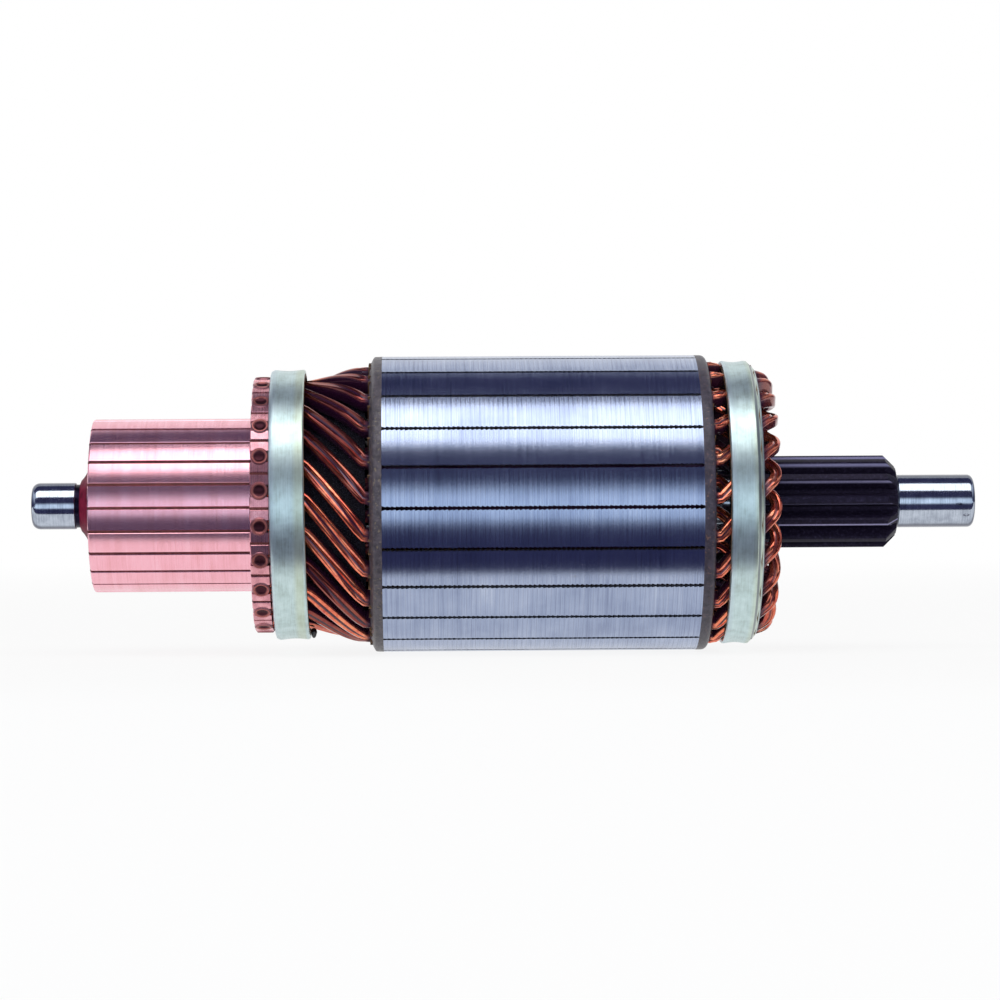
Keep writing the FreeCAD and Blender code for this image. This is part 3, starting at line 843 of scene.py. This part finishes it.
@dataclass
class Commutator:
    """Copper bars with risers round a moulded hub."""

    track: float = 20.5
    riser: float = 30.0
    foot: float = 14.6
    mica: float = 0.6
    ease: float = 0.12
    slot_half: float = 1.45
    slot_floor: float = 21.45
    riser_width: float = 4.5
    weld: float = 2.15

    def ring(self, x: float, outer: float, slotted: bool = False) -> Ring:
        """Section of a bar whose middle is at the angle 0.

        Args:
            x: the station.
            outer: the radius of the crown.
            slotted: whether the crown is open for the conductor ends.

        Returns:
            The closed section.
        """
        side, low = (PITCH / 2 - degrees(asin(self.mica / 2 / r)) for r in (outer, self.foot))
        half = [(self.foot, low), (outer - self.ease, side),
                (outer, side - degrees(self.ease / outer))]
        if slotted:
            lip, floor = (degrees(asin(self.slot_half / r)) for r in (outer, self.slot_floor))
            half += [(outer, (side + lip) / 2), (outer, lip), (self.slot_floor, floor)]
        else:
            half += [(outer, side * share) for share in (0.62, 0.36, 0.12)]
        points = [polar(x, r, -a) for r, a in half]
        return points + [polar(x, r, a) for r, a in reversed(half)]

    def weld_pit(self, x: float) -> Mesh:
        """Weld pit on a riser's edge at the angle 0: a dish with a raised rim."""
        profile = [(0.0, -0.22), (0.5, -0.26), (1.0, -0.14), (1.35, 0.12), (1.58, 0.30),
                   (1.80, 0.30), (2.0, 0.14), (self.weld, -0.12), (self.weld, -0.7)]
        bm = spun([(r, 0, h) for r, h in profile], (0, 0, 1), 28)
        bmesh.ops.contextual_create(bm, geom=[e for e in bm.edges if e.is_boundary])
        rotate(bm, about(90))
        bmesh.ops.translate(bm, verts=bm.verts, vec=polar(x, self.riser, 0))
        return bm

    def bar(self, number: int, copper: Material) -> None:
        """Make and dress one bar with its riser and weld pit."""
        node = "commutator_bar_%02d" % number
        low, high = span(node)
        rise = high - self.riser_width
        plain = [(low, 20.0), (low + 0.15, 20.34), (low + 0.5, self.track),
                 (rise - 0.8, self.track), (rise - 0.3, self.track + 0.1),
                 (rise - 0.06, self.track + 0.35), (rise, self.track + 0.7)]
        slotted = [(rise, self.riser - 0.3), (rise + 0.22, self.riser),
                   (high - 0.22, self.riser), (high, self.riser - 0.25)]
        bm = bmesh.new()
        skin(bm, [self.ring(x, r) for x, r in plain] + [self.ring(x, r, True)
                                                        for x, r in slotted])
        bmesh.ops.recalc_face_normals(bm, faces=bm.faces)
        pit = self.weld_pit(high - self.riser_width / 2)
        spare = bpy.data.meshes.new("pit")
        pit.to_mesh(spare)
        pit.free()
        bm.from_mesh(spare)
        bpy.data.meshes.remove(spare)
        rotate(bm, about(-(SLOT_TURN + (number - 0.5) * PITCH)))
        dress(bm, "bar_%02d" % number, copper, "commutator_copper", node)

    def hub(self) -> None:
        """Make and dress the moulded hub."""
        low, high = span("commutator_hub")
        nose = [(2.1, 5.14), (0.0, 5.14), (0.0, 5.5), (0.25, 6.1), (0.8, 6.7), (1.4, 7.6),
                (2.1, 9.0), (2.8, 11.2), (3.2, 13.6), (3.3, 14.25)]
        profile = [(low + x, r) for x, r in nose] + [
            (high, 14.25), (high, 8.54), (low + 2.1, 8.54), (low + 2.1, 5.14)]
        bm = spun([(x, 0, r) for x, r in profile], (1, 0, 0), 96)
        dress(bm, "moulded_hub", Look.HUB.value.build(), "hub_moulding", "commutator_hub")

    def build(self) -> None:
        """Make and dress every bar and the hub."""
        low, high = span("commutator_bar_01")
        copper = TurnedCopper(high - self.riser_width, self.track, low).build()
        for number in range(1, SLOTS + 1):
            self.bar(number, copper)
        self.hub()


# Winding

@dataclass
class Winding:
    """Hairpins of rectangular copper strip, smooth along the route of their solids."""

    band_trim: float
    width: float = 2.7
    front_width: float = 3.1
    height: float = 3.7
    corner: float = 0.8
    groove: float = 0.45
    groove_mark: float = 0.30
    twist: float = 2.5 * PITCH
    coil: float = 4 * PITCH
    top: float = 31.0
    bottom: float = 26.4
    riser_top: float = 27.65
    riser_bottom: float = 23.34
    under_band: float = 29.9
    under_lip: float = 29.15
    end_bottom: float = 25.24
    tip_bottom: float = 24.5
    sharpness: float = 0.13
    nose: float = 1.8
    straight: float = -0.9
    corner_share: float = 0.03
    riser_run: float = 6.0
    lift_run: float = 8.0
    shoulder: float = 31.95
    sunk: float = 0.6
    neck_run: float = 1.0
    lip_run: float = 2.25
    crown_short: float = 0.5
    flare_from: float = 56.0
    flare_rise: float = 3.0
    flare_fall: float = 1.6

    def __post_init__(self) -> None:
        """Read the stations of the route from the boxes of the solids."""
        self.copper = span("commutator_bar_01")[1]
        self.riser = self.copper - Commutator.riser_width
        self.disc = span("end_disc_commutator_side")[0]
        self.iron_end = span("end_disc_drive_side")[1]
        self.root = self.iron_end - self.sunk
        band, self.lip = span("band_drive_side")
        self.neck = band - self.neck_run
        self.crown = span("hairpin_01")[1] - self.crown_short - self.width / 2
        self.front_run = self.copper + self.riser_run, self.disc - self.straight

    def eased(self, u: float) -> float:
        """Even rise from 0 to 1, with short bends at both ends."""
        ease = self.corner_share
        if u < ease:
            return u * u / (2 * ease * (1 - ease))
        if u > 1 - ease:
            return 1 - (1 - u) ** 2 / (2 * ease * (1 - ease))
        return (u - ease / 2) / (1 - ease)

    def front(self, core: float, riser: float, home: float, turn: float,
              count: int = 16) -> list[Point]:
        """Centre line from the riser to the core.

        Args:
            core: the layer's radius in the core.
            riser: the layer's radius in the riser.
            home: the angle of the slot in the core.
            turn: how far round from there the riser stands.
            count: in how many steps the twist is made.

        Returns:
            Stations, radii and angles.
        """
        start, end = self.front_run
        lift_from = self.copper + self.lift_run
        route = [(self.riser + 0.5, riser, home + turn), (self.copper, riser, home + turn)]
        for i in range(count + 1):
            x = start + (end - start) * i / count
            lift = smooth((x - lift_from) / (self.disc - lift_from))
            route.append((x, riser + (core - riser) * lift,
                          home + turn * (1 - self.eased(i / count))))
        return route

    def drive_end(self, home: float, count: int = 14) -> list[Point]:
        """Centre line round the drive end."""
        half = self.coil / 2
        tip = hypot(1, self.sharpness) - self.sharpness
        last = self.crown - self.nose

        def left(x: float) -> float:
            """Share of the half coil still to be turned."""
            away = max((self.crown - x) / (self.crown - self.root), 0.0)
            return sqrt((away * tip + self.sharpness) ** 2 - self.sharpness ** 2)

        def between(x: float, marks: Pairs) -> float:
            """Radius at a station, read between marks."""
            for (x0, r0), (x1, r1) in zip(marks, marks[1:]):
                if x <= x1:
                    return r0 + (r1 - r0) * max(x - x0, 0) / (x1 - x0)
            return marks[-1][1]

        bend = self.lip - self.lip_run
        over = [(self.root, self.top), (self.root + 0.5, self.shoulder),
                (self.neck - 0.1, self.shoulder - 0.1), (self.neck + 1.0, self.under_band),
                (bend, self.under_band), (last, self.under_lip)]
        under = [(self.root, self.bottom), (self.neck, self.end_bottom),
                 (bend, self.end_bottom), (last, self.tip_bottom)]
        run = [self.root + (last - self.root) * i / count for i in range(count + 1)]
        route_over = [(x, between(x, over), home + half * (1 - left(x))) for x in run]
        route_under = [(x, between(x, under), home + half * (1 + left(x))) for x in run]
        middle = (self.under_lip + self.tip_bottom) / 2
        tall = (self.under_lip - self.tip_bottom) / 2
        from_angle, to_angle = route_over[-1][2], route_under[-1][2]
        arc = []
        for k in range(1, 12):
            a = radians(180 * k / 12)
            share = cos(a)
            x = run[-1] + self.nose * sin(a)
            angle = from_angle + (to_angle - from_angle) * (1 - share) / 2
            if abs(share) > 0.1:
                turned = home + half * (1 - left(x) * (1 if share > 0 else -1))
                angle = angle * 0.6 + turned * 0.4
            arc.append((x, middle + tall * share, angle))
        return route_over + arc + route_under[::-1]

    def section(self, width: float) -> list[Pair]:
        """Rounded section of the strip, with a shallow groove along its outer face."""
        points = []
        w, h, c = width / 2, self.height / 2, self.corner
        for sx, sy, start in ((1, 1, 0), (-1, 1, 90), (-1, -1, 180), (1, -1, 270)):
            turns = [radians(start + 30 * k) for k in range(4)]
            points += [(sx * (w - c) + c * cos(a), sy * (h - c) + c * sin(a)) for a in turns]
            if start == 0:
                shallow = h - 0.45 * self.groove
                points += [(0.35 * w, shallow), (0.0, h - self.groove), (-0.35 * w, shallow)]
        return points

    def pin(self, number: int, enamel: Material) -> None:
        """Make and dress one hairpin."""
        home = SLOT_TURN + (number - 1) * PITCH
        route = self.front(self.top, self.riser_top, home, self.twist)
        route += self.drive_end(home)
        route += self.front(self.bottom, self.riser_bottom, home + self.coil,
                            -self.twist)[::-1]
        centres = [polar(*stop) for stop in route]
        for _ in range(2):
            centres[1:-1] = [(a + 2 * b + c) / 4
                             for a, b, c in zip(centres, centres[1:], centres[2:])]
        rings = []
        for centre, before, after in zip(centres, centres[:1] + centres, centres[1:]
                                         + centres[-1:]):
            along = (after - before).normalized()
            out = Vector((0, centre.y, centre.z)).normalized()
            side = out.cross(along).normalized()
            x = centre.x / MM
            rise = smooth((x - self.flare_from) / self.flare_rise)
            fall = smooth((x - self.disc) / self.flare_fall + 1)
            width = self.width + (self.front_width - self.width) * rise * (1 - fall)
            rings.append([centre + side * (a * MM) + out * (b * MM)
                          for a, b in self.section(width)])
        # The marks tell the enamel where its painted shade goes: the outer ridges, with high
        # marks, stay bright, and the sides and the groove, with low marks, are painted dark.
        marks = [self.groove_mark if abs(a) < 1e-6 else
                 min(max((b / (self.height / 2) - 0.3) / 0.6, 0.0), 1.0)
                 for a, b in self.section(self.width)]
        bm = bmesh.new()
        skin(bm, rings, marks=marks)
        dress(bm, "winding_hairpin_%02d" % number, enamel, "enamelled_copper",
              "hairpin_%02d" % number)

    def build(self) -> None:
        """Make and dress every hairpin."""
        enamel = Enamel((self.disc, self.iron_end), self.lip - self.band_trim,
                        self.front_run, self.twist).build()
        for number in range(1, SLOTS + 1):
            self.pin(number, enamel)


# Bands and insulation

@dataclass
class Bands:
    """Plated banding rings with rolled edges and a dished middle."""

    wall: float = 0.9
    dish: float = 0.3
    lean: float = -0.8
    trim: float = 1.75
    outer_c: float = 32.0
    span_c: Pair = (51.95, 60.05)

    def face(self, begin: float, end: float, outer: float, depth: float) -> list[Pair]:
        """Stations and radii of a face that dips in its middle."""
        return [(begin + (end - begin) * k / 8, outer - depth * sin(pi * k / 8))
                for k in range(9)]

    def ring(self, name: str, node: str, profile: Pairs, lean: float,
             zinc: Zinc) -> None:
        """Make and dress one ring from the outline of its section."""
        bm = spun([(x, 0, r) for x, r in (*profile, profile[0])], (1, 0, 0), 160)
        if lean:
            rotate(bm, about(lean, "Y"), (sum(span(node)) / 2 * MM, 0, 0))
        dress(bm, name, zinc.build(), "band_steel", node)

    def build(self) -> None:
        """Make and dress both rings."""
        outer = self.outer_c
        low, high = self.span_c
        inner = outer - self.wall
        profile = [(low + 0.25, outer - 0.35), (low + 0.9, outer - 0.02)]
        profile += self.face(low + 1.3, high - 0.6, outer, self.dish * 0.9)
        profile += [(high - 0.25, outer - 0.03), (high, outer - 0.28), (high, inner),
                    (low + self.wall, inner - 0.1), (low + self.wall, inner - 1.0),
                    (low, inner - 1.0), (low, outer - 1.2)]
        self.ring("band_at_commutator", "band_commutator_side", profile, self.lean,
                  Zinc(low, high))
        node = "band_drive_side"
        low, high = span(node)
        high -= self.trim
        outer = max(hypot(v.co.y, v.co.z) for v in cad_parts[node].data.vertices) / MM
        profile = [(low, outer - 0.28), (low + 0.22, outer - 0.03)]
        profile += self.face(low + 0.6, high - 2.3, outer, self.dish)
        profile += [(high - 1.7, outer - 0.05), (high - 1.3, outer - 0.45),
                    (high - 0.12, outer - 1.62), (high, outer - 1.85),
                    (high - 0.45, outer - 2.2), (high - 2.25, outer - self.wall),
                    (low, outer - self.wall)]
        self.ring("band_at_drive", node, profile, 0.0, Zinc(low, high, lipped=True))


@dataclass
class VarnishDrop:
    """Drop of black varnish that stands beside the commutator-end band."""

    place: Point = (61.45, 31.0, -77.0)
    size: Point = (0.75, 0.8, 1.25)
    taper: float = 0.86

    def build(self) -> None:
        """Make and dress the drop."""
        bm = bmesh.new()
        bmesh.ops.create_uvsphere(bm, u_segments=20, v_segments=12, radius=MM)
        bmesh.ops.scale(bm, vec=self.size, verts=bm.verts)
        lift = [v for v in bm.verts if v.co.z > 0]
        bmesh.ops.scale(bm, vec=(self.taper, self.taper, 1.0), verts=lift)
        spot = polar(*self.place)
        out = Vector((0, spot.y, spot.z)).normalized()
        rotate(bm, Vector((0, 0, 1)).rotation_difference(out).to_matrix())
        bmesh.ops.translate(bm, verts=bm.verts, vec=spot)
        dress(bm, "varnish_drop", Look.DROP.value.build(), "insulating_paper")


@dataclass(frozen=True)
class KeptSolids:
    """CAD solids whose shape is right and which only get better materials."""

    looks: tuple[tuple[Look, tuple[str, ...]], ...] = (
        (Look.MICA, ("mica_segments",)),
        (Look.PAPER, ("slot_liners", "band_paper_commutator_side", "band_paper_drive_side")),
        (Look.VARNISH, ("layer_paper_commutator_side", "layer_paper_drive_side")),
    )

    def build(self) -> None:
        """Give each solid its material."""
        for look, nodes in self.looks:
            material = look.value.build()
            for node in nodes:
                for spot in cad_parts[node].material_slots:
                    spot.material = material
                log.info("%s: kept", node)


# Studio

@dataclass
class Studio:
    """Camera, floor, backdrop, lamps and the dark cards that the steel mirrors."""

    distance: float = 0.828
    lens: float = 125.4
    foot: float = 0.0874
    aim: Point = (0.1056, 0.0, 0.00083)
    roll: float = -0.35
    floor_level: float = -0.0352
    middle: float = 0.1
    card_away: float = 0.7
    card_from: float = -0.9
    card_length: float = 2.0
    navy: Colour = (0.045, 0.045, 0.105)
    pale: Colour = (0.98, 1.12, 1.28)

    def aimed(self, place: Floats, target: Floats, front: str) -> Matrix:
        """Rotation that points an axis from a place to a target."""
        return (Vector(target) - Vector(place)).to_track_quat(front, "Y").to_matrix()

    def hang(self, name: str, data: bpy.types.ID, place: Floats,
             turned: Matrix) -> Piece:
        """Put a camera or a lamp in the scene."""
        made = bpy.data.objects.new(name, data)
        bpy.context.scene.collection.objects.link(made)
        made.matrix_world = Matrix.Translation(place) @ turned.to_4x4()
        return made

    def camera(self) -> None:
        """Place the camera at the photograph's viewing angle."""
        data = bpy.data.cameras.new("camera")
        data.lens = self.lens
        data.sensor_width = 36.0
        data.clip_start = 0.01
        data.clip_end = 20.0
        place = (self.foot, -self.distance, 0.0)
        turned = self.aimed(place, self.aim, "-Z") @ about(self.roll, "Z")
        bpy.context.scene.camera = self.hang("camera", data, place, turned)

    def lamp(self, name: str, place: Floats, size: Pair, power: float,
             mirrored: bool = True) -> None:
        """Soft rectangular lamp that faces the armature."""
        data = bpy.data.lights.new(name, "AREA")
        data.shape = "RECTANGLE"
        data.size, data.size_y = size
        data.energy = power
        turned = self.aimed(place, (self.middle, 0, 0), "-Z")
        self.hang(name, data, place, turned).visible_glossy = mirrored

    def panel(self, name: str, size: Pair, place: Floats,
              facing: Floats) -> Piece:
        """Flat panel that faces a point, with its place in its mesh."""
        bm = bmesh.new()
        bmesh.ops.create_grid(bm, x_segments=1, y_segments=1, size=0.5)
        bmesh.ops.scale(bm, vec=(*size, 1), verts=bm.verts)
        rotate(bm, self.aimed(place, facing, "Z"))
        bmesh.ops.translate(bm, verts=bm.verts, vec=place)
        return finish_mesh(bm, name, shade=False)

    def level(self) -> float:
        """Height of the floor, which stays under the armature."""
        return min(self.floor_level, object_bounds()[0].z - 0.0002)

    def white(self, sheet: Piece, kept: float) -> None:
        """Make a sheet nearly white to camera and mirrors, with its shadow kept."""
        shop = Shop(sheet.name + "_white")
        shop.shade(Base_Color=(0.85, 0.85, 0.85), Roughness=0.8)
        away = shop.step(shop.axes()[1], 60.0, 1400.0)
        glow = shop.node("ShaderNodeEmission", {}, {"Color": (1, 1, 1), "Strength": 1.0})
        mixed = shop.node("ShaderNodeMixShader", {}, {
            0: shop.seen() * (kept + away * (1 - kept)),
            1: Wire(shop, shop.shader.outputs[0]), 2: glow})
        shop.feed(shop.tree.nodes["Material Output"].inputs[0], mixed)
        sheet.data.materials.append(shop.owner)
        sheet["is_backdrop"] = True

    def stage(self) -> None:
        """Place the floor and the backdrop."""
        level, x = self.level(), self.middle
        self.white(self.panel("floor", (6, 6), (x, 0.5, level), (x, 0.5, 1)), 0.88)
        self.white(self.panel("backdrop", (6, 4), (x, 2.2, level + 2), (x, -1, level + 2)), 1.0)

    def mirror_only(self, card: Piece, shop: Shop, place: Wire, start: float,
                    stops: Sequence[Stop]) -> None:
        """Let a card shine for mirrors only.

        Args:
            card: the card.
            shop: its material.
            place: where along the card's stops a point lies.
            start: the place of the first stop.
            stops: its tints by place.
        """
        long = stops[-1][0] - start
        tint = shop.ramp((place - start) / long, *(((at - start) / long, tint)
                                                   for at, tint in stops))
        shop.shade(Base_Color=(0, 0, 0), Roughness=1.0, Specular_IOR_Level=0.0,
                   Emission_Color=tint, Emission_Strength=1.0)
        card.data.materials.append(shop.owner)
        for kind in ("camera", "diffuse", "shadow", "transmission"):
            setattr(card, "visible_" + kind, False)
        card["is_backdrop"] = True

    def card(self, name: str, *stops: Stop) -> None:
        """Curved card round the armature, with tints by degrees above the camera's line."""
        bm = bmesh.new()
        low, high = stops[0][0], stops[-1][0]
        verts = []
        count = 20
        for k in range(count + 1):
            a = radians(low + (high - low) * k / count)
            verts.append(bm.verts.new((self.card_from, -self.card_away * cos(a),
                                       self.card_away * sin(a))))
        edges = [bm.edges.new(pair) for pair in zip(verts, verts[1:])]
        grown = bmesh.ops.extrude_edge_only(bm, edges=edges)["geom"]
        moved = [g for g in grown if isinstance(g, bmesh.types.BMVert)]
        bmesh.ops.translate(bm, verts=moved, vec=(self.card_length, 0, 0))
        shop = Shop(name + "_card")
        angle = shop.round_place()[2] * 360.0 - 180.0
        self.mirror_only(finish_mesh(bm, name, shade=False), shop, angle, low, stops)

    def strip(self, name: str, *stops: Stop) -> None:
        """Strip on the floor in front, with tints by the distance from the shaft."""
        level = self.level() + 0.0001
        near, far = stops[0][0], stops[-1][0]
        out = -(near + far) / 2
        card = self.panel(name, (self.card_length, far - near), (self.middle, out, level),
                          (self.middle, out, 1))
        shop = Shop(name + "_card")
        self.mirror_only(card, shop, shop.axes()[1] * -MM, near, stops)

    def wing(self, name: str, x: float) -> None:
        """Upright card beyond an end of the shaft, dark at its foot."""
        card = self.panel(name, (1.5, 3.0), (x, 0.0, 0.72), (self.middle, 0.0, 0.72))
        shop = Shop(name + "_card")
        self.mirror_only(card, shop, shop.axes()[2] * MM, 0.0, [
            (0.0, self.navy), (0.15, (0.10, 0.11, 0.18)), (0.42, (0.48, 0.52, 0.62)),
            (1.5, (0.85, 0.88, 0.95))])

    def build(self) -> None:
        """Set the whole studio."""
        self.camera()
        self.stage()
        shop = Shop("studio", world=True)
        bpy.context.scene.world = shop.shade(Color=(1, 1, 1), Strength=shop.seen().most(0.55))
        navy, pale = self.navy, self.pale
        self.card("card_behind", (82, navy), (112, navy), (122, (0.16, 0.17, 0.26)))
        self.card("card_front", (-4, pale), (5, pale), (16, navy), (46, navy))
        self.strip("card_floor", (0.044, navy), (0.125, navy), (0.215, pale), (0.695, pale))
        self.wing("card_left", -0.75)
        self.wing("card_right", 0.95)
        self.lamp("key", (self.middle, -0.45, 1.0), (1.5, 0.8), 5.2)
        self.lamp("front", (self.middle, -1.6, 0.25), (1.4, 0.5), 7.0, mirrored=False)
        bpy.context.scene.view_settings.view_transform = "Standard"


def main() -> None:
    """Build the armature's visual model and its studio."""
    logging.basicConfig(level=logging.INFO, format="%(message)s")
    bands = Bands()
    for part in (Shaft(), Core(), Commutator(), Winding(bands.trim), bands, VarnishDrop(),
                 KeptSolids(), Studio()):
        part.build()


if __name__ == "__main__":
    main()
